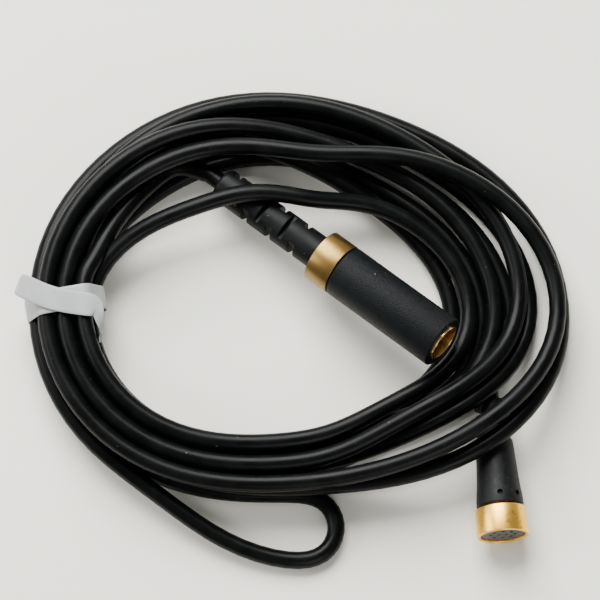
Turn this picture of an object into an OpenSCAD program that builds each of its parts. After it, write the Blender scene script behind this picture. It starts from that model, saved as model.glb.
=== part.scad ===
// Extension cable for an electronic shutter release: a round cord coiled and tied,
// an in-line socket for the release at one end, a camera plug with a turning lock
// collar at the other. Millimetres, +Z up, the coil lies on the floor at z = 0.

/* [Cord] */
// Diameter of the cord's jacket
cord_d = 4; // [3.8:0.1:4.1]
// Mean radius of the coil's outline
coil_r = 56.1; // [56:0.1:58]

/* [In-line socket] */
// Diameter of the socket's moulded body
socket_d = 13; // [12.6:0.1:13.2]
// Length of the socket's moulded body
socket_body_l = 30.4; // [29:0.1:31.5]
// Diameter of the ring behind the body
ring_d = 13.1; // [12.8:0.1:13.4]
// Width of the ring
ring_l = 6.4; // [5.8:0.1:6.8]
// Length of the strain relief that shows
socket_relief_l = 30.9; // [29:0.1:31]
// Diameter of the strain relief
socket_relief_d = 8.5; // [8:0.1:8.6]
// Bore of the sleeve in the socket's mouth
mouth_d = 8; // [7.6:0.1:8.2]

/* [Camera plug] */
// Diameter of the lock collar
collar_d = 12.4; // [12:0.1:12.6]
// Width of the lock collar
collar_l = 6.6; // [6.2:0.1:7.1]
// Length of the plug's moulded body
plug_body_l = 16.5; // [15.5:0.1:16.9]
// Diameter of the body beside the collar
plug_front_d = 11.3; // [11:0.1:11.6]
// Length of the plug's strain relief that shows
plug_relief_l = 9.6; // [9:0.1:10]
// Diameter of the plug's strain relief
plug_relief_d = 8; // [7.6:0.1:8.2]
// Radial play of the collar on the core
collar_play = 0.06; // [0.03:0.01:0.09]

/* [Tie] */
// Width of the flat tie
tie_w = 5.8; // [5:0.1:6]
// Thickness of the flat tie
tie_t = 0.35; // [0.3:0.05:0.4]

/* [Hidden] */
$fn = 64;

jacket_black = [0.10, 0.10, 0.105];
moulded_black = [0.13, 0.135, 0.145];
ring_gold = [0.62, 0.49, 0.27];
collar_gold = [0.86, 0.66, 0.38];
contact_gold = [0.85, 0.68, 0.30];
insulator_grey = [0.22, 0.22, 0.23];
filler_grey = [0.45, 0.45, 0.47];
tie_white = [0.80, 0.82, 0.81];

// Centre of the coil's outline, and what its radius gains with the angle:
// [cos, sin] of 1, 2 and 3 times the angle
coil_at = [8, 13.1];
swell = [[-1.9, 0.1], [7.2, -0.8], [1, -1.3]];

// Height of the cord's centre in the bottom layer, pressed flat by a tenth of its diameter
low = cord_d / 2 - cord_d / 10;

// Angles at which the cord's place in the bundle is set: the tie at 180, the plug at 322
stops = [180, 270, 322, 360, 405, 450, 495];

// Where the socket's half starts, at the tie, and where each half meets the fold
tie_angle = 180;
fold_in_angle = 2070;
fold_out_angle = 1350;

// For each turn and each stop: how far in from the outline the cord lies, and how high.
// The half that comes from the socket, tie first, then down to the fold.
lay_socket_half = [
    [[12.7, 12.5], [12.4, 11.6], [21, 10.2], [22.4, 6.5], [21.5, 8], [26.4, 12.8], [26, 14.4]],
    [[14.5, 7.9], [12.8, 6.6], [16.2, 7], [16.2, 6.5], [12.5, 6.5], [10.2, 8.6], [5, 11.8]],
    [[2.4, 12.5], [2, 12], [4.4, 16.4], [0.7, 9], [6.5, 12], [15.2, 12.4], [10.7, 11.6]],
    [[7.2, 12.5], [7.1, 11.6], [15.4, 15.4], [10.1, 6.5], [4.5, 6.5], [1.6, 6.5], [2.6, 6.8]],
    [[4.7, 7.9], [2, 6.5], [0.2, 12.6], [0, low], [0, low], [0, low], [0, 2]]
];
leg_socket_half = [[1980, 0, 7.9], [2025, -1, 6.6], [fold_in_angle, -15.3, low]];

// The half that comes from the plug: it starts at the fourth stop, under the others
start_plug_half = [[0, 13, low], [45, 11.5, low], [90, 9.4, low], [135, 9.5, low]];
lay_plug_half = [
    [[7.3, 3.2], [6.9, low], [17.2, low], [19.4, low], [17, low], [14.2, low], [14.4, low]],
    [[12.1, 3.2], [11.8, low], [22, low], [26.6, low], [22, 3], [16.2, 6.5], [7.2, 6.5]],
    [[9.7, 7.9], [7.3, 6.5], [11.6, 12.4], [7.4, low], [6.5, low], [4.7, low], [4.7, low]]
];
leg_plug_half = [[1260, 2.3, 3.2], [fold_out_angle, 1.5, low]];

// Rings of the cord's tube: degrees from one to the next, and sides
ring_step = 15;
ring_sides = 6;
lead_sides = 8;

// Where the strain reliefs' rear ends are, which way the connectors point and how far they rise
socket_at = [-11.5, 42, 6.1];
socket_heading = -38.5;
socket_rise = 9.8;
plug_at = [52.6, -11, 4.4];
plug_heading = -85.4;
plug_rise = 4.3;

// Free stretches of the cord between the strain reliefs and the coil
socket_bend = [
    [-22.2, 46.3, 6.3],
    [-27.9, 42.4, 6.7],
    [-33.3, 37, 7.5],
    [-38.1, 29.9, 9.4],
    [-41.9, 22, 11.3]
];
plug_bend = [[53.7, -2.1, 2.5], [55.2, 2.9, 1.9], [56.3, 7.8, 1.7]];

// Inner parts shared by both connectors. Eight contacts stand on the outer circle, two inside it
contact_ring_n = 8;
contact_circle_r = 2.8;
contact_inner_r = 1;
contact_d = 0.9;
contact_bore_d = 0.45;
pin_d = 0.76;
ferrule_wall = 1;
ferrule_l = 4;
ferrule_gap = 0.5;
cord_end_out = 0.5;
wire_d = 0.9;
wire_circle_r = 1;
edge = 0.4;
cut = 1;

// Socket, along its own axis from the relief's rear end
ring_z = socket_relief_l;
ring_gap = 0.3;
body_z = ring_z + ring_l + ring_gap;
mouth_z = body_z + socket_body_l;
socket_spigot_r = 3.5;
socket_spigot_l = 7.1;
socket_cord_z = ring_z + socket_spigot_l;
body_spigot_r = 5.6;
body_spigot_l = 3.5;
sleeve_wall = 0.6;
sleeve_r = mouth_d / 2 + sleeve_wall;
sleeve_l = 14;
sleeve_z = mouth_z - sleeve_l;
sleeve_out = 0.5;
cavity_r = 5;
clip_l = 1.5;
insulator_back = 2.6;
insulator_z = sleeve_z + insulator_back;
insulator_l = 4;
pin_free_l = 1.8;
pin_gap = 0.2;
socket_wire_z = socket_cord_z + ferrule_gap + ferrule_l + cord_end_out;

// The sleeve's bore is wider by a step from its rear end to just before the pins' tips
sleeve_step = 0.25;
seat_r = mouth_d / 2 + sleeve_step;
step_z = insulator_z + insulator_l + pin_free_l + pin_gap;

// Plug, along its own axis from the relief's rear end
relief_gap = 0.3;
plug_body_z = plug_relief_l + relief_gap;
plug_face_z = plug_body_z + plug_body_l;
collar_gap = 0.5;
collar_z = plug_face_z + collar_gap;
collar_front_z = collar_z + collar_l;
collar_edge = 0.3;
core_r = 4.4;
core_bore_r = 3.4;
core_seat_l = 7;
core_z = plug_face_z - core_seat_l;
flange_l = 2;
stem_l = 7.1;
head_gap = 0.3;
head_z = collar_z + flange_l + head_gap;
face_sunk = 0.4;
collar_lip = 0.92;
head_play = 0.08;
head_r = collar_d / 2 - collar_lip - head_play;
contact_floor = 0.7;
contact_sunk = 0.1;
contact_l = collar_front_z - face_sunk - contact_sunk - head_z - contact_floor;
plug_shoulder_l = 5;
plug_shoulder_d = plug_front_d - 0.7;
plug_spigot_r = 3.2;
plug_spigot_l = 3.4;
plug_cord_z = plug_relief_l + plug_spigot_l;
plug_ferrule_l = core_z - plug_cord_z - ferrule_gap - cord_end_out;
plug_cavity_r = 3.6;
grip_hole_d = 1.2;
grip_hole_deep = 0.9;
grip_hole_z = plug_face_z - 2.4;
grip_hole_turns = [0, -50, 130, 180];

// Slots and rounded rear end of the strain reliefs
slot_w = 1.5;
slot_pitch = 7.1;
slot_core = 2.55;
slot_first = 2.3;
end_round = 1;
end_round_mid = 0.3;

// The tie: the cords that lie outermost in the bundle there, the shifts and turn of each wrap,
// the cut end that sticks out past the bundle, and the twisted tail
tie_gap = 0.45;
bundle = [[2.3, 3.2], [12.8, 3.2], [15.2, 7.9], [12.7, 12.5], [2.4, 12.5], [0, 7.9]];
bundle_middle = bundle[2][0] / 2;
tie_upper = [0.1, 0.4, -10];
tie_lower = [0.2, -3.7, -3];
tie_top = bundle[3][1] + cord_d / 2 + tie_gap + 2 * tie_t;
tie_end_out = 5;
tie_end_l = 12;
tie_tail_at = [7.3, -1.7];
tie_tail_turned = 8;
tie_tail_l = 8;
tie_tail_w = 2;
tie_tail_t = 0.8;
tie_tail_twist = 300;

function unit(v) = v / norm(v);

// Outline of the coil: its radius at an angle, how fast that grows, and the slope's length factor
function swell_r(k, a) = swell[k - 1][0] * cos(k * a) + swell[k - 1][1] * sin(k * a);
function swell_d(k, a) = k * (swell[k - 1][1] * cos(k * a) - swell[k - 1][0] * sin(k * a));
function outline_r(a) = coil_r + swell_r(1, a) + swell_r(2, a) + swell_r(3, a);
function outline_d(a) = swell_d(1, a) + swell_d(2, a) + swell_d(3, a);
function slope_factor(a) = norm([1, outline_d(a) / outline_r(a)]);

// A point of the cord from its angle, its distance in from the outline and its height
function lie(a, inward, z) = [
    coil_at[0] + (outline_r(a) - inward * slope_factor(a)) * cos(a),
    coil_at[1] + (outline_r(a) - inward * slope_factor(a)) * sin(a),
    z
];

// Smooth steps between the stops, which never overshoot them
function step_slope(k, i, j) = i == 0 || i == len(k) - 1 ? 0 : mean_slope(
    (k[i][j] - k[i - 1][j]) / (k[i][0] - k[i - 1][0]),
    (k[i + 1][j] - k[i][j]) / (k[i + 1][0] - k[i][0])
);
function mean_slope(before, after) = before * after <= 0 ? 0 : 2 * before * after / (before + after);
function span_of(k, a, i = 0) = i >= len(k) - 2 || a < k[i + 1][0] ? i : span_of(k, a, i + 1);
function blend(k, a, i, j) =
    let (h = k[i + 1][0] - k[i][0], s = (a - k[i][0]) / h)
    (1 + 2 * s) * pow(1 - s, 2) * k[i][j] + s * pow(1 - s, 2) * h * step_slope(k, i, j)
    + s * s * (3 - 2 * s) * k[i + 1][j] - s * s * (1 - s) * h * step_slope(k, i + 1, j);
function cord_at(k, a) = let (i = span_of(k, a)) lie(a, blend(k, a, i, 1), blend(k, a, i, 2));

// All the stops of each half, one turn after another
function turns(lay) = [
    for (t = [0:len(lay) - 1])
        for (s = [0:len(stops) - 1])
            [stops[s] + 360 * t, lay[t][s][0], lay[t][s][1]]
];
socket_half = concat(turns(lay_socket_half), leg_socket_half);
plug_half = concat(start_plug_half, turns(lay_plug_half), leg_plug_half);

// Where the free stretches meet the coil, and which way the cord runs there
coil_start = cord_at(socket_half, tie_angle);
coil_start_way = unit(cord_at(socket_half, tie_angle + 1) - coil_start);
coil_end = cord_at(plug_half, 0);
coil_end_way = unit(cord_at(plug_half, 1) - coil_end);

// The fold in the middle of the cord: half a circle between its two legs
fold_in = cord_at(socket_half, fold_in_angle);
fold_out = cord_at(plug_half, fold_out_angle);
fold_r = norm(fold_out - fold_in) / 2;
fold_at = (fold_in + fold_out) / 2;

coil_route = concat(
    [coil_start, coil_start + cord_d * coil_start_way],
    [for (a = [tie_angle + ring_step:ring_step:fold_in_angle - ring_step]) cord_at(socket_half, a)],
    [for (a = [-90:ring_step * 2:90]) fold_at + fold_r * [cos(a), sin(a), 0]],
    [for (a = [fold_out_angle - ring_step:-ring_step:ring_step]) cord_at(plug_half, a)],
    [coil_end + cord_d * coil_end_way, coil_end]
);

// Direction of a point along a unit vector, for the connectors' axes
function aim(heading, rise) = [cos(rise) * cos(heading), cos(rise) * sin(heading), sin(rise)];
socket_way = aim(socket_heading, socket_rise);
plug_way = aim(plug_heading, plug_rise);

// A smooth line through hand-set points, two steps to each stretch
function through(p) = [for (i = [0:len(p) - 2]) for (s = [0, 0.5]) bend(p, i, s)];
function pull(p, i) = i == 0 ? p[1] - p[0]
    : i == len(p) - 1 ? p[i] - p[i - 1]
    : (p[i + 1] - p[i - 1]) / 2;
function bend(p, i, s) =
    (1 + 2 * s) * pow(1 - s, 2) * p[i] + s * pow(1 - s, 2) * pull(p, i)
    + s * s * (3 - 2 * s) * p[i + 1] - s * s * (1 - s) * pull(p, i + 1);

// A lead: straight out of its strain relief, along its bend, and straight on to the coil
function lead_route(from, from_way, points, to, to_way) =
    let (out = from - cord_d * from_way, on = to - cord_d * to_way)
    concat([from], through(concat([out], points, [on])), [on, to]);
socket_lead_route = lead_route(socket_at, socket_way, socket_bend, coil_start, coil_start_way);
plug_lead_route = lead_route(plug_at, plug_way, plug_bend, coil_end, coil_end_way);

// The way of a route at one of its points: along its end stretch, or halfway between its neighbours
function way(p, i) = i == 0 ? unit(p[1] - p[0])
    : i == len(p) - 1 ? unit(p[i] - p[i - 1])
    : unit(unit(p[i + 1] - p[i]) + unit(p[i] - p[i - 1]));
function ring_point(c, w, a) =
    let (side = unit(cross(w, [0, 0, 1])), up = cross(side, w))
    let (q = c + cord_d / 2 * (cos(a) * side + sin(a) * up))
    [q[0], q[1], max(q[2], 0)];

// A tube swept along a route, with a flat at its underside, closed by a fan of triangles at each end
module cord_tube(route, sides) {
    n = len(route);
    turn = 180 / sides * (1 - sides / 2 % 2);
    last = n * sides - sides;
    points = [
        for (i = [0:n - 1])
            for (k = [0:sides - 1])
                ring_point(route[i], way(route, i), turn + 360 / sides * k)
    ];
    walls = [
        for (i = [0:n - 2])
            for (k = [0:sides - 1])
                let (a = i * sides + k, b = i * sides + (k + 1) % sides)
                for (f = [[a, a + sides, b], [b, a + sides, b + sides]]) f
    ];
    caps = [for (k = [1:sides - 2]) for (f = [[0, k, k + 1], [last, last + k + 1, last + k]]) f];
    polyhedron(points = points, faces = concat(walls, caps));
}

// Least gap between stretches of the coil that aren't neighbours, on points a third of a ring apart.
// The 18 points after a point are its neighbours: they are the next 90 degrees
function between(p) = [for (i = [0:len(p) - 2]) for (s = [0:2]) p[i] + s / 3 * (p[i + 1] - p[i])];
function nearest(p, i) = min([for (j = [i + 18:len(p) - 1]) norm(p[i] - p[j])]);
function least_gap(p) = min([for (i = [0:len(p) - 20]) nearest(p, i)]) - cord_d;
union() {
    echo(least_gap_of_the_coil_to_itself = least_gap(between(coil_route)));
}

module at_socket() {
    translate(socket_at) rotate([0, 90 - socket_rise, socket_heading]) children();
}

module at_plug() {
    translate(plug_at) rotate([0, 90 - plug_rise, plug_heading]) children();
}

module tube(r_out, r_in, z, l) {
    difference() {
        translate([0, 0, z]) cylinder(r = r_out, h = l);
        translate([0, 0, z - cut]) cylinder(r = r_in, h = l + 2 * cut);
    }
}

// A strain relief's barrel: rounded rear end, slots by turns at the sides and at top and bottom
module slotted_barrel(d, l, side_slots, flat_slots) {
    difference() {
        rotate_extrude() polygon([
            [0, 0],
            [d / 2 - end_round, 0],
            [d / 2 - end_round_mid, end_round_mid],
            [d / 2, end_round],
            [d / 2, l],
            [0, l]
        ]);
        for (i = [0:1:side_slots - 1]) slot_pair(d, slot_first + slot_pitch * i, 90);
        for (i = [0:1:flat_slots - 1]) slot_pair(d, slot_first + slot_pitch * (i + 0.5), 0);
    }
}

module slot_pair(d, z, turned) {
    rotate([0, 0, turned])
        for (side = [-1, 1])
            translate([side * (slot_core + d / 2), 0, z + slot_w / 2])
                cube([d, d + cut, slot_w], center = true);
}

// Places of the ten contacts, the same in plug and socket
function contact_place(i) = i <= contact_ring_n
    ? contact_circle_r * [cos(360 / contact_ring_n * i), sin(360 / contact_ring_n * i)]
    : contact_inner_r * [0, i == contact_ring_n + 1 ? 1 : -1];

module contact_holes(d, z, l) {
    for (i = [1:contact_ring_n + 2])
        translate([contact_place(i)[0], contact_place(i)[1], z]) cylinder(d = d, h = l, $fn = 24);
}

module wires(z, l) {
    for (a = [45:90:315])
        rotate([0, 0, a]) translate([wire_circle_r, 0, z]) cylinder(d = wire_d, h = l, $fn = 24);
}

module cord_coil() {
    color(jacket_black) cord_tube(coil_route, ring_sides);
}

module socket_lead() {
    color(jacket_black) cord_tube(socket_lead_route, lead_sides);
}

module plug_lead() {
    color(jacket_black) cord_tube(plug_lead_route, lead_sides);
}

module plug_strain_relief() {
    color(moulded_black) at_plug() {
        slotted_barrel(plug_relief_d, plug_relief_l, 1, 1);
        translate([0, 0, plug_relief_l - cut]) cylinder(r = plug_spigot_r, h = plug_spigot_l + cut);
    }
}

module plug_body() {
    color(moulded_black) at_plug() difference() {
        rotate_extrude() polygon([
            [0, plug_body_z],
            [plug_relief_d / 2, plug_body_z],
            [plug_relief_d / 2 + edge, plug_body_z + edge],
            [plug_shoulder_d / 2, plug_face_z - plug_shoulder_l],
            [plug_front_d / 2, plug_face_z - edge],
            [plug_front_d / 2 - edge, plug_face_z],
            [0, plug_face_z]
        ]);
        translate([0, 0, plug_body_z - cut])
            cylinder(r = plug_spigot_r, h = plug_cord_z - plug_body_z + 2 * cut);
        translate([0, 0, plug_cord_z]) cylinder(r = plug_cavity_r, h = core_z + cut - plug_cord_z);
        translate([0, 0, core_z]) cylinder(r = core_r, h = plug_body_l);
        for (a = grip_hole_turns)
            rotate([0, 0, a])
                translate([-plug_front_d / 2 - cut, 0, grip_hole_z])
                    rotate([0, 90, 0]) cylinder(d = grip_hole_d, h = grip_hole_deep + cut, $fn = 24);
    }
}

module plug_core() {
    color(collar_gold) at_plug() tube(core_r, core_bore_r, core_z, head_z - core_z);
}

module plug_insulator() {
    color(insulator_grey) at_plug() difference() {
        union() {
            translate([0, 0, head_z]) cylinder(r = head_r, h = collar_front_z - face_sunk - head_z);
            translate([0, 0, head_z - stem_l]) cylinder(r = core_bore_r, h = stem_l + edge);
        }
        contact_holes(contact_d, head_z + contact_floor, collar_l);
    }
}

module lock_collar() {
    color(collar_gold) at_plug() difference() {
        rotate_extrude() polygon([
            [0, collar_z],
            [collar_d / 2 - collar_edge, collar_z],
            [collar_d / 2, collar_z + collar_edge],
            [collar_d / 2, collar_front_z - collar_edge],
            [collar_d / 2 - collar_edge, collar_front_z],
            [0, collar_front_z]
        ]);
        translate([0, 0, collar_z - cut]) cylinder(r = core_r + collar_play, h = collar_l);
        translate([0, 0, collar_z + flange_l]) cylinder(r = collar_d / 2 - collar_lip, h = collar_l);
    }
}

module plug_cord_end() {
    color(jacket_black) at_plug() translate([0, 0, plug_cord_z])
        cylinder(d = cord_d, h = core_z - plug_cord_z);
}

module plug_crimp_ferrule() {
    color(contact_gold) at_plug()
        tube(cord_d / 2 + ferrule_wall, cord_d / 2, plug_cord_z + ferrule_gap, plug_ferrule_l);
}

module plug_filler() {
    color(filler_grey) at_plug()
        tube(plug_cavity_r, cord_d / 2 + ferrule_wall, plug_cord_z, core_z - plug_cord_z);
}

module plug_wires() {
    color(contact_gold) at_plug() wires(core_z, head_z - stem_l - core_z);
}

module plug_contact(i) {
    color(contact_gold) at_plug()
        translate([contact_place(i)[0], contact_place(i)[1], 0])
            tube(contact_d / 2, contact_bore_d / 2, head_z + contact_floor, contact_l, $fn = 24);
}

module socket_strain_relief() {
    color(moulded_black) at_socket() {
        slotted_barrel(socket_relief_d, socket_relief_l, 4, 3);
        translate([0, 0, socket_relief_l - cut])
            cylinder(r = socket_spigot_r, h = socket_spigot_l + cut);
    }
}

module socket_ring() {
    color(ring_gold) at_socket() difference() {
        translate([0, 0, ring_z]) cylinder(d = ring_d, h = ring_l);
        translate([0, 0, ring_z - cut]) cylinder(r = socket_spigot_r, h = ring_l + 2 * cut);
        translate([0, 0, body_z - body_spigot_l]) cylinder(r = body_spigot_r, h = body_spigot_l);
    }
}

module socket_body() {
    color(moulded_black) at_socket() difference() {
        rotate_extrude() polygon([
            [0, body_z - body_spigot_l],
            [body_spigot_r, body_z - body_spigot_l],
            [body_spigot_r, body_z],
            [socket_d / 2 - edge, body_z],
            [socket_d / 2, body_z + edge],
            [socket_d / 2, mouth_z - edge * 2],
            [socket_d / 2 - edge, mouth_z - edge / 4],
            [socket_d / 2 - edge * 2, mouth_z],
            [0, mouth_z]
        ]);
        translate([0, 0, ring_z]) cylinder(r = socket_spigot_r, h = socket_spigot_l);
        translate([0, 0, socket_cord_z]) cylinder(r = cavity_r, h = sleeve_z - socket_cord_z);
        translate([0, 0, sleeve_z - cut]) cylinder(r = sleeve_r, h = sleeve_l + 2 * cut);
    }
}

module socket_sleeve() {
    color(contact_gold) at_socket() difference() {
        tube(sleeve_r, mouth_d / 2, sleeve_z, sleeve_l + sleeve_out);
        translate([0, 0, sleeve_z - cut]) cylinder(r = seat_r, h = step_z - sleeve_z + cut);
    }
}

module socket_clip() {
    color(contact_gold) at_socket() tube(cavity_r, cord_d / 2 + ferrule_wall, sleeve_z - clip_l, clip_l);
}

module socket_insulator() {
    color(insulator_grey) at_socket() difference() {
        translate([0, 0, insulator_z]) cylinder(r = seat_r, h = insulator_l);
        contact_holes(pin_d, insulator_z - cut, insulator_l + 2 * cut);
    }
}

module socket_cord_end() {
    color(jacket_black) at_socket() translate([0, 0, socket_cord_z])
        cylinder(d = cord_d, h = socket_wire_z - socket_cord_z);
}

module socket_crimp_ferrule() {
    color(contact_gold) at_socket()
        tube(cord_d / 2 + ferrule_wall, cord_d / 2, socket_cord_z + ferrule_gap, ferrule_l);
}

module socket_filler() {
    color(filler_grey) at_socket()
        tube(cavity_r, cord_d / 2 + ferrule_wall, socket_cord_z, sleeve_z - clip_l - socket_cord_z);
}

module socket_wires() {
    color(contact_gold) at_socket() wires(socket_wire_z, insulator_z - socket_wire_z);
}

module socket_pin(i) {
    color(contact_gold) at_socket()
        translate([contact_place(i)[0], contact_place(i)[1], insulator_z])
            cylinder(d = pin_d, h = insulator_l + pin_free_l, $fn = 24);
}

// The bundle's outline at the tie, wider by a margin
module bundle_outline(margin) {
    hull() {
        for (p = bundle) translate(p) circle(r = cord_d / 2 + margin, $fn = 32);
    }
}

// What turns about the bundle's middle, laid across it at the tie
module at_bundle(place) {
    translate([coil_at[0] - outline_r(tie_angle) + bundle_middle + place[0], coil_at[1] + place[1], 0])
        rotate([0, 0, place[2]]) translate([-bundle_middle, 0, 0]) children();
}

module tie_wrap(place, under) {
    at_bundle(place)
        rotate([90, 0, 0]) linear_extrude(height = tie_w, center = true)
            difference() {
                bundle_outline(under + tie_t);
                bundle_outline(under);
            }
}

module tie_strap() {
    color(tie_white) {
        tie_wrap(tie_upper, tie_gap + tie_t);
        tie_wrap(tie_lower, tie_gap);
        at_bundle(tie_upper)
            translate([-tie_end_out, -tie_w / 2, tie_top]) cube([tie_end_l, tie_w, tie_t]);
    }
}

module tie_tail() {
    color(tie_white) at_bundle(tie_lower)
        translate([bundle_middle + tie_tail_at[0], tie_tail_at[1], tie_top - tie_t])
            rotate([90, 0, tie_tail_turned])
                linear_extrude(height = tie_tail_l, twist = tie_tail_twist, slices = 16, $fn = 8)
                    square([tie_tail_w, tie_tail_t], center = true);
}

cord_coil();
socket_lead();
plug_lead();
plug_strain_relief();
plug_body();
plug_core();
plug_insulator();
lock_collar();
plug_cord_end();
plug_crimp_ferrule();
plug_filler();
plug_wires();
socket_strain_relief();
socket_ring();
socket_body();
socket_sleeve();
socket_clip();
socket_insulator();
socket_cord_end();
socket_crimp_ferrule();
socket_filler();
socket_wires();
tie_strap();
tie_tail();
for (i = [1:contact_ring_n + 2]) {
    plug_contact(i);
    socket_pin(i);
}
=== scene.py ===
from math import atan, cos, exp, hypot, pi, radians, sin

import bpy
from mathutils import Euler, Matrix, Vector


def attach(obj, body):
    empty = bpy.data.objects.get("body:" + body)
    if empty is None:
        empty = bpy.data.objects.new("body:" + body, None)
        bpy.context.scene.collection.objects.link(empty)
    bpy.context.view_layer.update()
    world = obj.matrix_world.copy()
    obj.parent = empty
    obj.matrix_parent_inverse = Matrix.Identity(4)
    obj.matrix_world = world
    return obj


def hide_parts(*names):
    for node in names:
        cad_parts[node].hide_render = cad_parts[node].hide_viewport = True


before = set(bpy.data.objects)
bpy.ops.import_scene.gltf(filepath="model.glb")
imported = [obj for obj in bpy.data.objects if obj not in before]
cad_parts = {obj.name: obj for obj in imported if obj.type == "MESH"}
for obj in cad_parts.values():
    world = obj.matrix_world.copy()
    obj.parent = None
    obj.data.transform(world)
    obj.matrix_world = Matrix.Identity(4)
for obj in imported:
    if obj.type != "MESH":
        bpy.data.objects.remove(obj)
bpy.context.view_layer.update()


# ---- Camera ------------------------------------------------------------------------------
# The object lies flat and is seen from above and in front, the way it lies on a table
# before someone who bends over it.

camera_aim = Vector((0.0072, 0.0147, 0))
camera_distance = 1.5
camera_height_angle = radians(77)
seen_width = 0.1440
bpy.ops.object.camera_add(
    location=camera_aim + camera_distance * Vector((0, -cos(camera_height_angle), sin(camera_height_angle))),
    rotation=(pi / 2 - camera_height_angle, 0, 0))
camera = bpy.context.object
camera.name = "camera"
camera.data.angle = 2 * atan(seen_width / 2 / camera_distance)
camera.data.clip_start = 0.01
bpy.context.scene.camera = camera


# ---- Cord --------------------------------------------------------------------------------
# About 2.8 m of 4 mm cord in one smooth PVC jacket. It is folded in two, wound by hand into
# a loose oval coil and tied at the left, so its two halves run side by side from the fold.

cord_d = 0.0042
coil_middle = (0.008, 0.0131)
coil_r = 0.0561
swell = ((-0.0019, 0.0001), (0.0072, -0.0008), (0.001, -0.0013))

# The angles at which the cord's place is set, and for each turn and angle its distance in
# from the coil's outline and its height, in millimetres.
stops = (180, 270, 322, 360, 405, 450, 495)
lay_socket_half = (
    ((11.2, 12.5), (12.4, 11.6), (21, 10.2), (22.4, 6.5), (21.5, 8), (26.4, 12.8), (26, 14.4)),
    ((12.2, 7.9), (12.8, 6.6), (16.2, 7), (16.2, 6.5), (12.5, 6.5), (10.2, 8.6), (5, 11.8)),
    ((2.1, 12.5), (2, 12), (4.4, 16.4), (0.7, 9), (6.5, 12), (15.2, 12.4), (10.7, 11.6)),
    ((6.4, 12.5), (7.1, 11.6), (15.4, 15.4), (10.1, 6.5), (4.5, 6.5), (1.6, 6.5), (2.6, 6.8)),
    ((4.2, 7.9), (2, 6.5), (0.2, 12.6), (0, 1.6), (0, 1.6), (0, 1.6), (0, 2)))
leg_socket_half = ((1980, 0, 7.9), (2025, -1, 6.6), (2070, -15.3, 1.6))
start_plug_half = ((0, 13, 1.6), (45, 11.5, 1.6), (90, 9.4, 1.6), (135, 8.8, 1.6))
lay_plug_half = (
    ((6.4, 3.2), (6.9, 1.6), (17.2, 1.6), (19.4, 1.6), (17, 1.6), (14.2, 1.6), (14.4, 1.6)),
    ((10.7, 3.2), (11.8, 1.6), (22, 1.6), (26.6, 1.6), (22, 3), (16.2, 6.5), (7.2, 6.5)),
    ((8.5, 7.9), (7.3, 6.5), (11.6, 12.4), (7.4, 1.6), (6.5, 1.6), (4.7, 1.6), (4.7, 1.6)))
leg_plug_half = ((1260, 2.1, 3.2), (1350, 1.5, 1.6))

# Each connector's place: where its cord goes in, its heading and its rise.
socket_at, plug_at = Vector((-0.0115, 0.042, 0.0061)), Vector((0.0526, -0.011, 0.0044))
socket_place = (socket_at, radians(-38.5), radians(9.8))
plug_place = (plug_at, radians(-85.4), radians(4.3))
socket_bend = [Vector(p) / 1000 for p in (
    (-22.2, 46.3, 6.3), (-27.9, 42.4, 6.7), (-33.3, 37, 7.5), (-38.1, 29.9, 9.4), (-41.9, 22, 11.3))]
plug_bend = [Vector(p) / 1000 for p in ((53.7, -2.1, 2.5), (55.2, 2.9, 1.9), (56.3, 7.8, 1.7))]

tie_angle, fold_in_angle, fold_out_angle = 180, 2070, 1350
coil_step, fold_step, bend_steps = 4, 12, 6
in_boot, straight_end = 0.002, 0.004
stiff_points, easing_rounds = 5, 7
floor_lift, lowest_lay = 0.0005, 1.6


def outline(angle):
    """Radius of the coil's outline at an angle, and its slope's factor for a distance in from it."""
    a = radians(angle)
    r = coil_r + sum(c * cos((k + 1) * a) + s * sin((k + 1) * a) for k, (c, s) in enumerate(swell))
    growth = sum((k + 1) * (s * cos((k + 1) * a) - c * sin((k + 1) * a)) for k, (c, s) in enumerate(swell))
    return r, hypot(1, growth / r)


def eased(k, i, column, angle):
    """Value between two stops, eased so that it never overshoots them."""
    def slope(j):
        if j in (0, len(k) - 1):
            return 0
        before = (k[j][column] - k[j - 1][column]) / (k[j][0] - k[j - 1][0])
        after = (k[j + 1][column] - k[j][column]) / (k[j + 1][0] - k[j][0])
        return 0 if before * after <= 0 else 2 * before * after / (before + after)
    span = k[i + 1][0] - k[i][0]
    s = (angle - k[i][0]) / span
    return ((1 + 2 * s) * (1 - s) ** 2 * k[i][column] + s * (1 - s) ** 2 * span * slope(i)
            + s * s * (3 - 2 * s) * k[i + 1][column] - s * s * (1 - s) * span * slope(i + 1))


def cord_at(k, angle):
    i = max(j for j in range(len(k) - 1) if j == 0 or angle >= k[j][0])
    r, factor = outline(angle)
    inward, height = eased(k, i, 1, angle) / 1000, eased(k, i, 2, angle) / 1000
    a = radians(angle)
    return Vector((coil_middle[0] + (r - inward * factor) * cos(a),
                   coil_middle[1] + (r - inward * factor) * sin(a), height))


def turns(lay):
    return [(stop + 360 * turn, *place) for turn, row in enumerate(lay)
            for stop, place in zip(stops, row)]


def through(points, steps):
    """A smooth line through given points, without its last point."""
    line = []
    for i in range(len(points) - 1):
        pull = [points[1] - points[0] if j == 0 else points[j] - points[j - 1] if j == len(points) - 1
                else (points[j + 1] - points[j - 1]) / 2 for j in (i, i + 1)]
        for s in (n / steps for n in range(steps)):
            line.append((1 + 2 * s) * (1 - s) ** 2 * points[i] + s * (1 - s) ** 2 * pull[0]
                        + s * s * (3 - 2 * s) * points[i + 1] - s * s * (1 - s) * pull[1])
    return line


def way_out(at, heading, rise):
    return Vector((cos(rise) * cos(heading), cos(rise) * sin(heading), sin(rise)))


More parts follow.
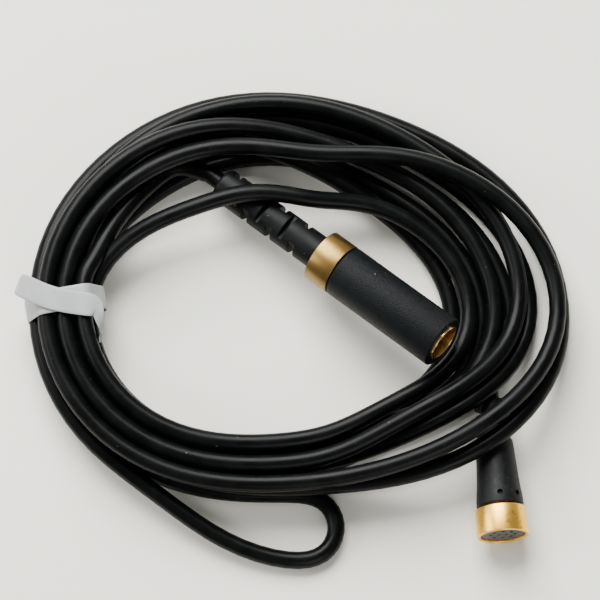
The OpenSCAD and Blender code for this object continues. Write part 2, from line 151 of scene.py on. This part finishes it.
def lead(start, way, bend, end, end_way):
    """Straight out of a boot, along its bend, and straight on to the coil."""
    out, on = start - straight_end * way, end - straight_end * end_way
    return [start] + through([out] + bend + [on], bend_steps) + [on, end]


socket_way, plug_way = way_out(*socket_place), way_out(*plug_place)
socket_half = turns(lay_socket_half) + list(leg_socket_half)
plug_half = list(start_plug_half) + turns(lay_plug_half) + list(leg_plug_half)
coil_start, coil_end = cord_at(socket_half, tie_angle), cord_at(plug_half, 0)
coil_start_way = (cord_at(socket_half, tie_angle + 1) - coil_start).normalized()
coil_end_way = (cord_at(plug_half, 1) - coil_end).normalized()
fold_in, fold_out = cord_at(socket_half, fold_in_angle), cord_at(plug_half, fold_out_angle)
fold_middle, fold_r = (fold_in + fold_out) / 2, (fold_out - fold_in).length / 2

cord_route = (
    [socket_at + in_boot * socket_way]
    + lead(socket_at, socket_way, socket_bend, coil_start, coil_start_way)
    + [cord_at(socket_half, a) for a in range(tie_angle + coil_step, fold_in_angle - 1, coil_step)]
    + [fold_middle + fold_r * Vector((cos(radians(a)), sin(radians(a)), 0)) for a in range(-90, 91, fold_step)]
    + [cord_at(plug_half, a) for a in range(fold_out_angle - coil_step, 1, -coil_step)]
    + lead(plug_at, plug_way, plug_bend, coil_end, coil_end_way)[::-1]
    + [plug_at + in_boot * plug_way])

# A cord has no tight kinks, so all but its stiff ends is eased.
for _ in range(easing_rounds):
    cord_route[stiff_points:-stiff_points] = [
        (cord_route[i - 1] + 2 * cord_route[i] + cord_route[i + 1]) / 4
        for i in range(stiff_points, len(cord_route) - stiff_points)]

# The lowest turns are lifted until the round jacket lies on the floor.
cord_route = [Vector((p.x, p.y, p.z + floor_lift * exp(lowest_lay - 1000 * p.z))) for p in cord_route]

cord_curve = bpy.data.curves.new("cord", "CURVE")
cord_curve.dimensions = "3D"
cord_curve.bevel_depth = cord_d / 2
cord_curve.bevel_resolution = 6
spline = cord_curve.splines.new("POLY")
spline.points.add(len(cord_route) - 1)
for point, place in zip(spline.points, cord_route):
    point.co = (*place, 1)
spline.use_smooth = True
cord = bpy.data.objects.new("cord", cord_curve)
bpy.context.scene.collection.objects.link(cord)


def put(tree, kind, values=(), **settings):
    """A shader node with its settings, and each socket set to a value or joined to another node's socket."""
    made = tree.nodes.new("ShaderNode" + kind)
    for key, value in settings.items():
        setattr(made, key, value)
    for socket, value in dict(values).items():
        if isinstance(value, bpy.types.NodeSocket):
            tree.links.new(value, made.inputs[socket])
        else:
            made.inputs[socket].default_value = value
    return made


def effect(name, inputs, outputs):
    """An empty node group with named number inputs and outputs, and its two end nodes."""
    tree = bpy.data.node_groups.new(name, "ShaderNodeTree")
    for label, value in inputs.items():
        made = tree.interface.new_socket(name=label, in_out="INPUT", socket_type="NodeSocketFloat")
        made.default_value = value
    for label in outputs:
        tree.interface.new_socket(name=label, in_out="OUTPUT", socket_type="NodeSocketFloat")
    return tree, tree.nodes.new("NodeGroupInput").outputs, tree.nodes.new("NodeGroupOutput").inputs


dust_grey = (0.16, 0.155, 0.15)

# Moulded plastic: the eroded grain of the mould, clouds in its sheen, and specks of dust.
moulded_skin, given, gives = effect(
    "moulded_skin", {"Grain Scale": 2400, "Cloud Scale": 160, "Dust": 0.73}, ("Grain", "Clouds", "Dust"))
place = put(moulded_skin, "TexCoord").outputs["Object"]
grain = put(moulded_skin, "TexNoise", {
    "Vector": place, "Scale": given["Grain Scale"], "Detail": 3, "Roughness": 0.6})
clouds = put(moulded_skin, "TexNoise", {
    "Vector": place, "Scale": given["Cloud Scale"], "Detail": 4, "Roughness": 0.6})
specks = put(moulded_skin, "TexNoise", {"Vector": place, "Scale": 1900, "Detail": 1, "Roughness": 0.4})
clear = put(moulded_skin, "MapRange", {"Value": clouds.outputs["Fac"], "From Min": 0.35, "From Max": 0.65})
on_top = put(moulded_skin, "Math", {0: given["Dust"], 1: 0.05}, operation="ADD")
dust = put(moulded_skin, "MapRange", {
    "Value": specks.outputs["Fac"], "From Min": given["Dust"], "From Max": on_top.outputs[0]})
moulded_skin.links.new(grain.outputs["Fac"], gives["Grain"])
moulded_skin.links.new(clear.outputs["Result"], gives["Clouds"])
moulded_skin.links.new(dust.outputs["Result"], gives["Dust"])


def plastic(name, dark, light, smoothest, roughest, grain_scale, grain_height,
            cloud_scale=160, dust=0.73, shine=0.5):
    """Moulded plastic whose colour and sheen vary a little, with its grain as bump."""
    made = bpy.data.materials.new(name)
    made.use_nodes = True
    tree = made.node_tree
    shader = tree.nodes["Principled BSDF"]
    shader.inputs["Specular IOR Level"].default_value = shine
    skin = put(tree, "Group", node_tree=moulded_skin)
    skin.inputs["Grain Scale"].default_value = grain_scale
    skin.inputs["Cloud Scale"].default_value = cloud_scale
    skin.inputs["Dust"].default_value = dust
    tone = put(tree, "Mix", {0: skin.outputs["Clouds"], 6: (*dark, 1), 7: (*light, 1)}, data_type="RGBA")
    dusted = put(tree, "Mix", {0: skin.outputs["Dust"], 6: tone.outputs[2], 7: (*dust_grey, 1)},
                 data_type="RGBA")
    sheen = put(tree, "MapRange", {"Value": skin.outputs["Clouds"], "To Min": smoothest, "To Max": roughest})
    bump = put(tree, "Bump", {"Height": skin.outputs["Grain"], "Distance": grain_height, "Strength": 1})
    tree.links.new(dusted.outputs[2], shader.inputs["Base Color"])
    tree.links.new(sheen.outputs["Result"], shader.inputs["Roughness"])
    tree.links.new(bump.outputs["Normal"], shader.inputs["Normal"])
    return made


jacket = plastic("cord_jacket_pvc", (0.0014, 0.0017, 0.0016), (0.0028, 0.0032, 0.0031),
                 0.30, 0.38, grain_scale=1300, grain_height=0.000006, dust=0.8, shine=0.09)
cord.data.materials.append(jacket)
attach(cord, "cable")
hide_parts("cord_coil", "socket_lead", "plug_lead")


# ---- Table and light ---------------------------------------------------------------------
# The cable lies on a plain pale table under one wide soft lamp from behind and two weak
# fills from the left and the front, which leave long soft lights along every round form.

bpy.ops.object.select_all(action="DESELECT")
bpy.ops.mesh.primitive_plane_add(size=4)
table = bpy.context.object
table.name = "table_top"
table_paint = bpy.data.materials.new("table_paint")
table_paint.use_nodes = True
paint = table_paint.node_tree.nodes["Principled BSDF"]
paint.inputs["Base Color"].default_value = (0.87, 0.855, 0.77, 1)
paint.inputs["Roughness"].default_value = 0.85
table.data.materials.append(table_paint)

for lamp_name, lamp_at, lamp_size, lamp_power in (
        ("lamp_behind", (-0.25, 0.80, 0.85), 0.9, 50),
        ("lamp_left", (-0.9, 0.1, 0.5), 0.5, 6),
        ("lamp_front", (0.4, -0.9, 0.6), 0.6, 6)):
    lamp = bpy.data.lights.new(lamp_name, "AREA")
    lamp.size = lamp_size
    lamp.energy = lamp_power
    lamp_object = bpy.data.objects.new(lamp_name, lamp)
    lamp_object.location = lamp_at
    lamp_object.rotation_euler = (camera_aim - Vector(lamp_at)).to_track_quat("-Z", "Y").to_euler()
    bpy.context.scene.collection.objects.link(lamp_object)

room = bpy.data.worlds.new("room")
room.use_nodes = True
room.node_tree.nodes["Background"].inputs["Color"].default_value = (1, 1, 1, 1)
room.node_tree.nodes["Background"].inputs["Strength"].default_value = 0.26
bpy.context.scene.world = room


# ---- Socket boot -------------------------------------------------------------------------
# The strain relief behind the in-line socket, moulded in soft black plastic over the cord.
# Slots cut in from the sides and from top and bottom by turns let it bend with the cord.

slot_core, slot_pitch, slot_first = 2.55, 7.1, 3.05
side_slot_w, flat_slot_w = (0.95, 1.7), (0.85, 1.1)
socket_boot_r, socket_boot_l = 4.25, 30.9
boot_voxel, boot_rounds, boot_share = 0.13, 4, 0.45


def turned(name, profile, ring=False, sides=96, bevel=0.0):
    """A form turned about the z axis from (radius, height) in millimetres: a solid, or a ring whose
    profile comes back to its start."""
    bpy.ops.object.select_all(action="DESELECT")
    (r_before, z_before), steps = profile[0], profile[1:] + ([profile[0]] if ring else [])
    bpy.ops.mesh.primitive_circle_add(vertices=sides, radius=r_before, location=(0, 0, z_before),
                                      fill_type="NGON")
    piece = bpy.context.object
    piece.name = piece.data.name = name
    bpy.ops.object.transform_apply(location=True, rotation=True, scale=True)
    bpy.ops.object.mode_set(mode="EDIT")
    bpy.ops.mesh.select_all(action="SELECT")
    for r, z in steps:
        bpy.ops.mesh.extrude_region_move(TRANSFORM_OT_translate={"value": (0, 0, z - z_before)})
        bpy.ops.transform.resize(value=(r / r_before, r / r_before, 1), center_override=(0, 0, z))
        r_before, z_before = r, z
    bpy.ops.object.mode_set(mode="OBJECT")
    if ring:
        for face in piece.data.polygons:
            face.select = len(face.vertices) == sides
        bpy.ops.object.mode_set(mode="EDIT")
        bpy.ops.mesh.select_mode(type="FACE")
        bpy.ops.mesh.delete(type="ONLY_FACE")
        bpy.ops.mesh.select_mode(type="VERT")
        bpy.ops.object.mode_set(mode="OBJECT")
    bpy.ops.object.mode_set(mode="EDIT")
    bpy.ops.mesh.select_all(action="SELECT")
    bpy.ops.mesh.remove_doubles(threshold=0.001)
    bpy.ops.mesh.normals_make_consistent(inside=False)
    bpy.ops.object.mode_set(mode="OBJECT")
    if bevel:
        finish_with(piece, "BEVEL", width=bevel, segments=3, limit_method="ANGLE",
                    angle_limit=radians(25))
    return piece


def finish_with(piece, kind, **settings):
    """Adds a modifier with its settings and applies it."""
    bpy.ops.object.select_all(action="DESELECT")
    piece.select_set(True)
    bpy.context.view_layer.objects.active = piece
    made = piece.modifiers.new(kind.lower(), kind)
    for key, value in settings.items():
        setattr(made, key, value)
    bpy.ops.object.modifier_apply(modifier=made.name)


def cut_away(piece, cutters):
    """Cuts a piece with one or more others, and clears those away."""
    bpy.ops.object.select_all(action="DESELECT")
    for cutter in cutters:
        cutter.select_set(True)
    bpy.context.view_layer.objects.active = cutters[0]
    if len(cutters) > 1:
        bpy.ops.object.join()
    finish_with(piece, "BOOLEAN", operation="DIFFERENCE", object=cutters[0], solver="EXACT")
    bpy.data.objects.remove(cutters[0], do_unlink=True)


def slot_cutters(r, sides, flats):
    """Wedges for the slots of a boot: pairs at its sides, and pairs at top and bottom half a pitch on."""
    cutters = []
    depth = r + 0.6 - slot_core
    places = ([(90, slot_first + slot_pitch * i, *side_slot_w) for i in range(sides)]
              + [(0, slot_first + slot_pitch * (i + 0.5), *flat_slot_w) for i in range(flats)])
    for turn, z, floor_w, mouth_w in places:
        for half_turn in (0, 180):
            bpy.ops.object.select_all(action="DESELECT")
            bpy.ops.mesh.primitive_cube_add(size=1, location=(slot_core + depth / 2, 0, 0),
                                            scale=(depth, 2 * r + 1, floor_w))
            cutter = bpy.context.object
            bpy.ops.object.transform_apply(location=True, rotation=True, scale=True)
            for face in cutter.data.polygons:
                face.select = face.normal.x > 0.9
            bpy.ops.object.mode_set(mode="EDIT")
            bpy.ops.mesh.select_mode(type="FACE")
            bpy.ops.transform.resize(value=(1, 1, mouth_w / floor_w))
            bpy.ops.mesh.select_mode(type="VERT")
            bpy.ops.object.mode_set(mode="OBJECT")
            cutter.rotation_euler = (0, 0, radians(turn + half_turn))
            cutter.location = (0, 0, z)
            bpy.ops.object.transform_apply(location=True, rotation=True, scale=True)
            cutters.append(cutter)
    return cutters


def soften(piece):
    """Rounds every edge of a moulded rubbery form."""
    finish_with(piece, "REMESH", mode="VOXEL", voxel_size=boot_voxel)
    finish_with(piece, "SMOOTH", factor=0.5, iterations=boot_rounds)
    finish_with(piece, "DECIMATE", ratio=boot_share)


def put_in_place(piece, at, heading, rise):
    """Lays a piece made in millimetres about z along a connector's axis, with its place in its mesh."""
    piece.matrix_world = (Matrix.Translation(at) @ Euler((0, pi / 2 - rise, heading)).to_matrix().to_4x4()
                          @ Matrix.Scale(0.001, 4))
    bpy.ops.object.select_all(action="DESELECT")
    piece.select_set(True)
    bpy.context.view_layer.objects.active = piece
    bpy.ops.object.transform_apply(location=True, rotation=True, scale=True)
    bpy.ops.object.shade_smooth_by_angle(angle=radians(35))


def hand_over(piece, material, slot, body, *nodes):
    """Gives a finished piece its material and its body, and puts it in place of the CAD's own. Its slot is not
    used.
    """
    piece.data.materials.clear()
    piece.data.materials.append(material)
    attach(piece, body)
    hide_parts(*nodes)


def boot(name, r, length, sides, flats, neck):
    """A slotted boot with a rounded rear end and a neck that goes into the housing."""
    piece = turned(name, [(r - 1, 0), (r - 0.5, 0.15), (r - 0.15, 0.5), (r, 1), (r, length),
                          (neck[0], length), (neck[0], length + neck[1])])
    cut_away(piece, slot_cutters(r, sides, flats))
    soften(piece)
    return piece


boot_black = plastic("boot_soft_black", (0.0024, 0.0027, 0.0028), (0.0042, 0.0046, 0.0048),
                     0.40, 0.52, grain_scale=2600, grain_height=0.000018, dust=0.79, shine=0.1)
socket_boot = boot("socket_boot", socket_boot_r, socket_boot_l, 4, 3, (3.5, 7.1))
put_in_place(socket_boot, *socket_place)
hand_over(socket_boot, boot_black, "moulding", "cable", "socket_strain_relief")


# ---- Socket ring -------------------------------------------------------------------------
# A turned brass ring with a satin bronze finish, slipped over the boot's neck and held
# between boot and housing. Its fine turning lines run round it.

ring_profile = [(3.5, 30.9), (6.55, 30.9), (6.55, 37.3), (5.6, 37.3), (5.6, 34.1), (3.5, 34.1)]

# Turned metal: fine lines round the axis, uneven tarnish, and dull rubbed patches.
turned_metal, given, gives = effect(
    "turned_metal", {"Line Scale": 9000, "Tarnish Scale": 260, "Patches": 0.62},
    ("Lines", "Tarnish", "Patches"))
turned_metal.interface.new_socket(name="Place", in_out="INPUT", socket_type="NodeSocketVector")
along = put(turned_metal, "SeparateXYZ", {0: given["Place"]}).outputs["Z"]
line_at = put(turned_metal, "Math", {0: along, 1: given["Line Scale"]}, operation="MULTIPLY")
lines = put(turned_metal, "TexNoise", noise_dimensions="1D")
turned_metal.links.new(line_at.outputs[0], lines.inputs["W"])
lines.inputs["Scale"].default_value = 1
lines.inputs["Detail"].default_value = 2
stain = put(turned_metal, "TexNoise", {
    "Vector": given["Place"], "Scale": given["Tarnish Scale"], "Detail": 5, "Roughness": 0.65})
spread = put(turned_metal, "MapRange", {"Value": stain.outputs["Fac"], "From Min": 0.3, "From Max": 0.7})
rubbed = put(turned_metal, "TexNoise", {
    "Vector": given["Place"], "Scale": 620, "Detail": 4, "Roughness": 0.7})
patch_end = put(turned_metal, "Math", {0: given["Patches"], 1: 0.08}, operation="ADD")
patches = put(turned_metal, "MapRange", {
    "Value": rubbed.outputs["Fac"], "From Min": given["Patches"], "From Max": patch_end.outputs[0]})
turned_metal.links.new(lines.outputs["Fac"], gives["Lines"])
turned_metal.links.new(spread.outputs["Result"], gives["Tarnish"])
turned_metal.links.new(patches.outputs["Result"], gives["Patches"])


def metal(name, bright, dull, patch, smoothest, roughest, at, heading, rise, line_depth, patches=0.62):
    """Turned and finished metal whose lines run round a connector's axis."""
    made = bpy.data.materials.new(name)
    made.use_nodes = True
    tree = made.node_tree
    shader = tree.nodes["Principled BSDF"]
    shader.inputs["Metallic"].default_value = 1
    own = put(tree, "Mapping", {"Vector": put(tree, "TexCoord").outputs["Object"], "Location": at,
                                "Rotation": (0, pi / 2 - rise, heading)}, vector_type="TEXTURE")
    skin = put(tree, "Group", node_tree=turned_metal)
    tree.links.new(own.outputs["Vector"], skin.inputs["Place"])
    skin.inputs["Patches"].default_value = patches
    tone = put(tree, "Mix", {0: skin.outputs["Tarnish"], 6: (*bright, 1), 7: (*dull, 1)}, data_type="RGBA")
    rubbed = put(tree, "Mix", {0: skin.outputs["Patches"], 6: tone.outputs[2], 7: (*patch, 1)},
                 data_type="RGBA")
    sheen = put(tree, "MapRange", {"Value": skin.outputs["Tarnish"], "To Min": smoothest, "To Max": roughest})
    bump = put(tree, "Bump", {"Height": skin.outputs["Lines"], "Distance": line_depth, "Strength": 1})
    tree.links.new(rubbed.outputs[2], shader.inputs["Base Color"])
    tree.links.new(sheen.outputs["Result"], shader.inputs["Roughness"])
    tree.links.new(bump.outputs["Normal"], shader.inputs["Normal"])
    return made


bronze = metal("ring_satin_bronze", (0.28, 0.175, 0.052), (0.20, 0.125, 0.036), (0.12, 0.08, 0.03), 0.34, 0.42,
               *socket_place, line_depth=0.000006, patches=0.7)
socket_band = turned("socket_band", ring_profile, ring=True, sides=128, bevel=0.18)
put_in_place(socket_band, *socket_place)
hand_over(socket_band, bronze, "ring", "cable", "socket_ring")


# ---- Socket housing ----------------------------------------------------------------------
# The straight grip of the socket, injection moulded in hard black plastic over the crimped
# cord end. The mould was spark eroded, so it is matt.

housing_profile = [
    (5.6, 34.1), (5.6, 37.6), (6.5, 37.6), (6.5, 68), (4.6, 68), (4.6, 54), (5, 54), (5, 38), (3.5, 38),
    (3.5, 34.1)]
housing_black = plastic("housing_eroded_black", (0.0026, 0.0034, 0.0038), (0.0042, 0.0052, 0.0058),
                        0.34, 0.42, grain_scale=3300, grain_height=0.00017, cloud_scale=900, dust=0.79,
                        shine=0.085)
socket_housing = turned("socket_housing", housing_profile, ring=True, sides=128, bevel=0.3)
put_in_place(socket_housing, *socket_place)
hand_over(socket_housing, housing_black, "moulding", "cable", "socket_body")


# ---- Socket mouth liner ------------------------------------------------------------------
# A thin gold-plated sleeve pressed into the housing, which guides the plug and shields the
# pins. It stands half a millimetre out of the mouth and has a rolled edge.

liner_profile = [(4, 62.6), (4, 68.5), (4.6, 68.5), (4.6, 54), (4.25, 54), (4.25, 62.6)]
gold_plate = ((0.80, 0.56, 0.24), (0.62, 0.42, 0.18), (0.35, 0.25, 0.12), 0.2, 0.32)
liner_gold = metal("liner_plated_gold", *gold_plate, *socket_place, line_depth=0.000004)
socket_liner = turned("socket_liner", liner_profile, ring=True, sides=96, bevel=0.14)
put_in_place(socket_liner, *socket_place)
hand_over(socket_liner, liner_gold, "contacts", "cable", "socket_sleeve")


# ---- Socket pins and their insulator -----------------------------------------------------
# Ten plated pins with rounded tips, eight in a circle and two inside it, stand in a disc
# of hard grey plastic that is pressed into the sleeve from behind.

contact_places = ([(2.8 * cos(radians(45 * i)), 2.8 * sin(radians(45 * i))) for i in range(1, 9)]
                  + [(0, 1), (0, -1)])
disc_grey = plastic("insulator_hard_grey", (0.026, 0.026, 0.028), (0.036, 0.036, 0.038),
                    0.4, 0.5, grain_scale=3000, grain_height=0.000012)
socket_disc = turned("socket_disc", [(4.25, 56.6), (4.25, 60.6)], sides=96, bevel=0.2)
put_in_place(socket_disc, *socket_place)
hand_over(socket_disc, disc_grey, "insulator", "cable", "socket_insulator")

pin_profile = [(0.3, 56.6), (0.38, 56.7), (0.38, 61.9), (0.34, 62.15), (0.24, 62.32), (0.12, 62.4)]
pin = turned("pin", pin_profile, sides=24)
for number, (x, y) in enumerate(contact_places, 1):
    one = pin.copy()
    one.data = pin.data.copy()
    one.name = one.data.name = f"socket_prong_{number}"
    one.data.transform(Matrix.Translation((x, y, 0)))
    bpy.context.scene.collection.objects.link(one)
    put_in_place(one, *socket_place)
    hand_over(one, liner_gold, "contacts", "cable", f"socket_pin_{number}")
bpy.data.objects.remove(pin, do_unlink=True)


# ---- Plug boot ---------------------------------------------------------------------------
# The short strain relief behind the camera plug, the same soft moulding as the socket's,
# with one pair of slots at its sides and one at top and bottom.

plug_boot = boot("plug_boot", 4, 9.6, 1, 1, (3.2, 3.4))
put_in_place(plug_boot, *plug_place)
hand_over(plug_boot, boot_black, "moulding", "cable", "plug_strain_relief")


# ---- Plug housing ------------------------------------------------------------------------
# The plug's grip, moulded in hard black plastic. It widens to a shoulder behind the collar,
# and small blind holes left by the mould's pins stand round that shoulder.

shoulder_r = 5.65
plug_housing_profile = [
    (3.2, 9.9), (4, 9.9), (4.36, 10.2), (4.5, 11.5), (4.7, 14.5), (4.93, 18), (5.2, 21.4), (5.48, 23.6),
    (5.6, 24.8), (shoulder_r, 26.1), (5.4, 26.4), (4.4, 26.4), (4.4, 19.4), (3.6, 19.4), (3.6, 13), (3.2, 13)]
hole_turns, hole_z, hole_r, hole_deep = (0, -50, 130, 180), 24.0, 0.68, 1.1
plug_housing = turned("plug_housing", plug_housing_profile, ring=True, sides=128)
hole_cutters = []
for turn in hole_turns:
    cutter = turned("hole_cutter", [(hole_r, 0), (hole_r, 2)], sides=32)
    cutter.matrix_world = (Matrix.Rotation(radians(turn), 4, "Z")
                           @ Matrix.Translation((-shoulder_r + hole_deep, 0, hole_z))
                           @ Matrix.Rotation(-pi / 2, 4, "Y"))
    bpy.ops.object.transform_apply(location=True, rotation=True, scale=True)
    hole_cutters.append(cutter)
cut_away(plug_housing, hole_cutters)
put_in_place(plug_housing, *plug_place)
plug_black = plastic("plug_eroded_black", (0.0034, 0.0037, 0.0038), (0.0060, 0.0064, 0.0066),
                     0.42, 0.55, grain_scale=1700, grain_height=0.00006, cloud_scale=700, dust=0.79, shine=0.14)
hand_over(plug_housing, plug_black, "moulding", "cable", "plug_body")


# ---- Lock collar -------------------------------------------------------------------------
# A turned and gold-anodised ring that turns freely on the plug's core and locks it to the
# camera. Its thin rounded lip stands round the contact face.

collar_profile = [(4.46, 26.9), (6.08, 26.9), (6.2, 33.5), (5.28, 33.5), (5.28, 28.9), (4.46, 28.9)]
collar_gold = metal("collar_anodised_gold", (1.0, 0.60, 0.095), (0.92, 0.52, 0.075), (0.66, 0.36, 0.06),
                    0.30, 0.42, *plug_place, line_depth=0.00001, patches=0.57)
plug_collar = turned("plug_collar", collar_profile, ring=True, sides=128, bevel=0.22)
put_in_place(plug_collar, *plug_place)
hand_over(plug_collar, collar_gold, "collar", "collar", "lock_collar")


# ---- Plug face ---------------------------------------------------------------------------
# A dark grey plastic head with ten holes for the contacts, and the metal core behind it
# on which the collar turns. The core is pressed into the housing.

plug_face = turned("plug_face", [(3.4, 22.1), (3.4, 29.2), (5.2, 29.2), (5.2, 33.1)], sides=96, bevel=0.15)
contact_hole_r = 0.47
contact_cutters = []
for x, y in contact_places:
    cutter = turned("contact_cutter", [(contact_hole_r, 29.9), (contact_hole_r, 35)], sides=24)
    cutter.location = (x, y, 0)
    bpy.ops.object.transform_apply(location=True, rotation=True, scale=True)
    contact_cutters.append(cutter)
cut_away(plug_face, contact_cutters)
put_in_place(plug_face, *plug_place)
hand_over(plug_face, disc_grey, "insulator", "cable", "plug_insulator")

plated_gold = metal("contacts_plated_gold", *gold_plate, *plug_place, line_depth=0.000004)
brass = metal("core_turned_brass", (0.72, 0.52, 0.26), (0.55, 0.40, 0.2), (0.3, 0.22, 0.12), 0.3, 0.42,
              *plug_place, line_depth=0.000006)


def dress(node, material):
    """Gives a CAD node that keeps its own shape a finer material."""
    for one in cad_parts[node].material_slots:
        one.material = material


dress("plug_core", brass)
for number in range(1, 11):
    dress(f"plug_contact_{number}", plated_gold)


# ---- Inside the housings -----------------------------------------------------------------
# Each cord end is stripped, crimped in a plated ferrule and potted in grey filler, and its
# four wires run on to the contacts. A spring clip holds the sleeve in the socket.

filler_grey = plastic("filler_potting", (0.16, 0.16, 0.17), (0.22, 0.22, 0.23), 0.5, 0.7, 900, 0.00003)
wire_copper = metal("wires_tinned_copper", (0.68, 0.46, 0.3), (0.5, 0.33, 0.2), (0.3, 0.2, 0.14),
                    0.28, 0.4, *socket_place, line_depth=0.000003)
for end in ("plug", "socket"):
    dress(f"{end}_cord_end", jacket)
    dress(f"{end}_crimp_ferrule", plated_gold)
    dress(f"{end}_filler", filler_grey)
    dress(f"{end}_wires", wire_copper)
dress("socket_clip", plated_gold)


# ---- Tie ---------------------------------------------------------------------------------
# A flat strip of translucent white plastic, wound round the bundle by hand. One end is left
# flat and sticks out on top, the other is folded down and twisted into a tail.

tie_w, tie_t, tie_rows, loop_gap = 5.8, 0.36, 4, 0.4
strands = ((2.8, 3.2), (11.8, 3.2), (14.3, 8.2), (11.8, 12.5), (2.9, 12.5), (0.7, 7.9))
bundle_x, bundle_half, loop_y, loop_tilt = -56.2, 7.5, 11.6, radians(10)


def round_bundle(gap, steps=6):
    """The way round the bundle at a gap from its outer strands, from the middle of its underside."""
    way = []
    for i, (x, z) in enumerate(strands):
        before, after = strands[i - 1], strands[(i + 1) % len(strands)]
        start = Vector((z - before[1], before[0] - x)).normalized()
        end = Vector((after[1] - z, x - after[0])).normalized()
        way += [Vector((x, z)) + (cord_d * 500 + gap) * start.slerp(end, n / steps)
                for n in range(steps + 1)]
    middle = (way[steps] + way[steps + 1]) / 2
    return [middle] + way[steps + 1:] + way[:steps + 1] + [middle]


def strip(name, places):
    """A flat strip from (middle, heading, width, roll) to (middle, heading, width, roll)."""
    bpy.ops.object.select_all(action="DESELECT")
    bpy.ops.mesh.primitive_plane_add(size=1)
    piece = bpy.context.object
    piece.name = piece.data.name = name
    bpy.ops.object.mode_set(mode="EDIT")
    bpy.ops.mesh.select_mode(type="VERT")
    bpy.ops.mesh.select_all(action="DESELECT")
    bpy.ops.object.mode_set(mode="OBJECT")
    for vertex in piece.data.vertices:
        vertex.select = vertex.co.x < 0
    bpy.ops.object.mode_set(mode="EDIT")
    bpy.ops.mesh.delete(type="VERT")
    bpy.ops.mesh.select_all(action="SELECT")
    bpy.ops.mesh.subdivide(number_cuts=tie_rows - 1)
    middle, heading, width, roll = places[0]
    bpy.ops.transform.translate(value=middle - Vector((0.5, 0, 0)))
    bpy.ops.transform.resize(value=(1, width, 1), center_override=middle)
    bpy.ops.transform.rotate(value=-heading, orient_axis="Z", center_override=middle)
    for next_middle, next_heading, next_width, next_roll in places[1:]:
        bpy.ops.mesh.extrude_region_move(TRANSFORM_OT_translate={"value": next_middle - middle})
        bpy.ops.transform.resize(value=(next_width / width,) * 3, center_override=next_middle)
        bpy.ops.transform.rotate(value=heading - next_heading, orient_axis="Z",
                                 center_override=next_middle)
        bpy.ops.transform.rotate(value=roll - next_roll, orient_axis="Y", center_override=next_middle)
        middle, heading, width, roll = next_middle, next_heading, next_width, next_roll
    bpy.ops.object.mode_set(mode="OBJECT")
    return piece


def thicken(piece, closed=False):
    """Closes a wound strip where it meets itself, gives it its thickness and rounds it."""
    bpy.ops.object.mode_set(mode="EDIT")
    bpy.ops.mesh.select_all(action="SELECT")
    if closed:
        bpy.ops.mesh.remove_doubles(threshold=0.02)
    bpy.ops.mesh.normals_make_consistent(inside=False)
    bpy.ops.object.mode_set(mode="OBJECT")
    finish_with(piece, "SOLIDIFY", thickness=tie_t, offset=1)
    finish_with(piece, "SUBSURF", levels=2, render_levels=2)


tie_white = plastic("tie_translucent_white", (0.355, 0.375, 0.365), (0.43, 0.45, 0.44), 0.42, 0.52,
                    grain_scale=700, grain_height=0.00001, cloud_scale=120, dust=0.9)
tie_shader = tie_white.node_tree.nodes["Principled BSDF"]
tie_shader.inputs["Transmission Weight"].default_value = 0.22
upright = (Vector((0, 0, 0)), 0, pi / 2)

tie_loop = strip("tie_loop", [
    (Vector((bundle_x + bundle_half + (x - bundle_half) * cos(loop_tilt),
             loop_y + (x - bundle_half) * sin(loop_tilt), z)), loop_tilt, tie_w, 0)
    for x, z in round_bundle(loop_gap)])
thicken(tie_loop, closed=True)
put_in_place(tie_loop, *upright)
hand_over(tie_loop, tie_white, "tie", "cable", "tie_strap")

# The band's middle, its heading and width, and its roll, from its free end to its tail's tip.
band_places = (
    ((-60.0, 15.1, 16.0), -21, 5.8, 0), ((-57.4, 13.9, 15.8), -24, 5.8, 0),
    ((-54.4, 12.5, 15.65), -21, 5.8, 0), ((-51.1, 11.35, 15.6), -15, 5.8, 0),
    ((-47.4, 10.6, 15.6), -9, 5.8, 0), ((-44.2, 10.2, 15.5), -5, 5.8, 0),
    ((-42.2, 10.0, 15.2), -5, 5.7, 0), ((-41.3, 9.7, 14.9), -22, 5.0, 0),
    ((-40.8, 8.9, 14.7), -48, 3.8, 0), ((-40.6, 7.7, 14.5), -75, 2.7, 0),
    ((-40.4, 6.4, 14.0), -88, 2.3, 20), ((-40.3, 5.2, 13.3), -90, 2.2, 50),
    ((-40.3, 4.0, 12.4), -90, 1.9, 95), ((-40.3, 2.8, 11.5), -90, 1.3, 140),
    ((-40.4, 1.7, 10.8), -90, 0.5, 170))
tie_band = strip("tie_band", [(Vector(middle), radians(heading), width, radians(roll))
                              for middle, heading, width, roll in band_places])
thicken(tie_band)
put_in_place(tie_band, *upright)
hand_over(tie_band, tie_white, "tie", "cable", "tie_strap", "tie_tail")
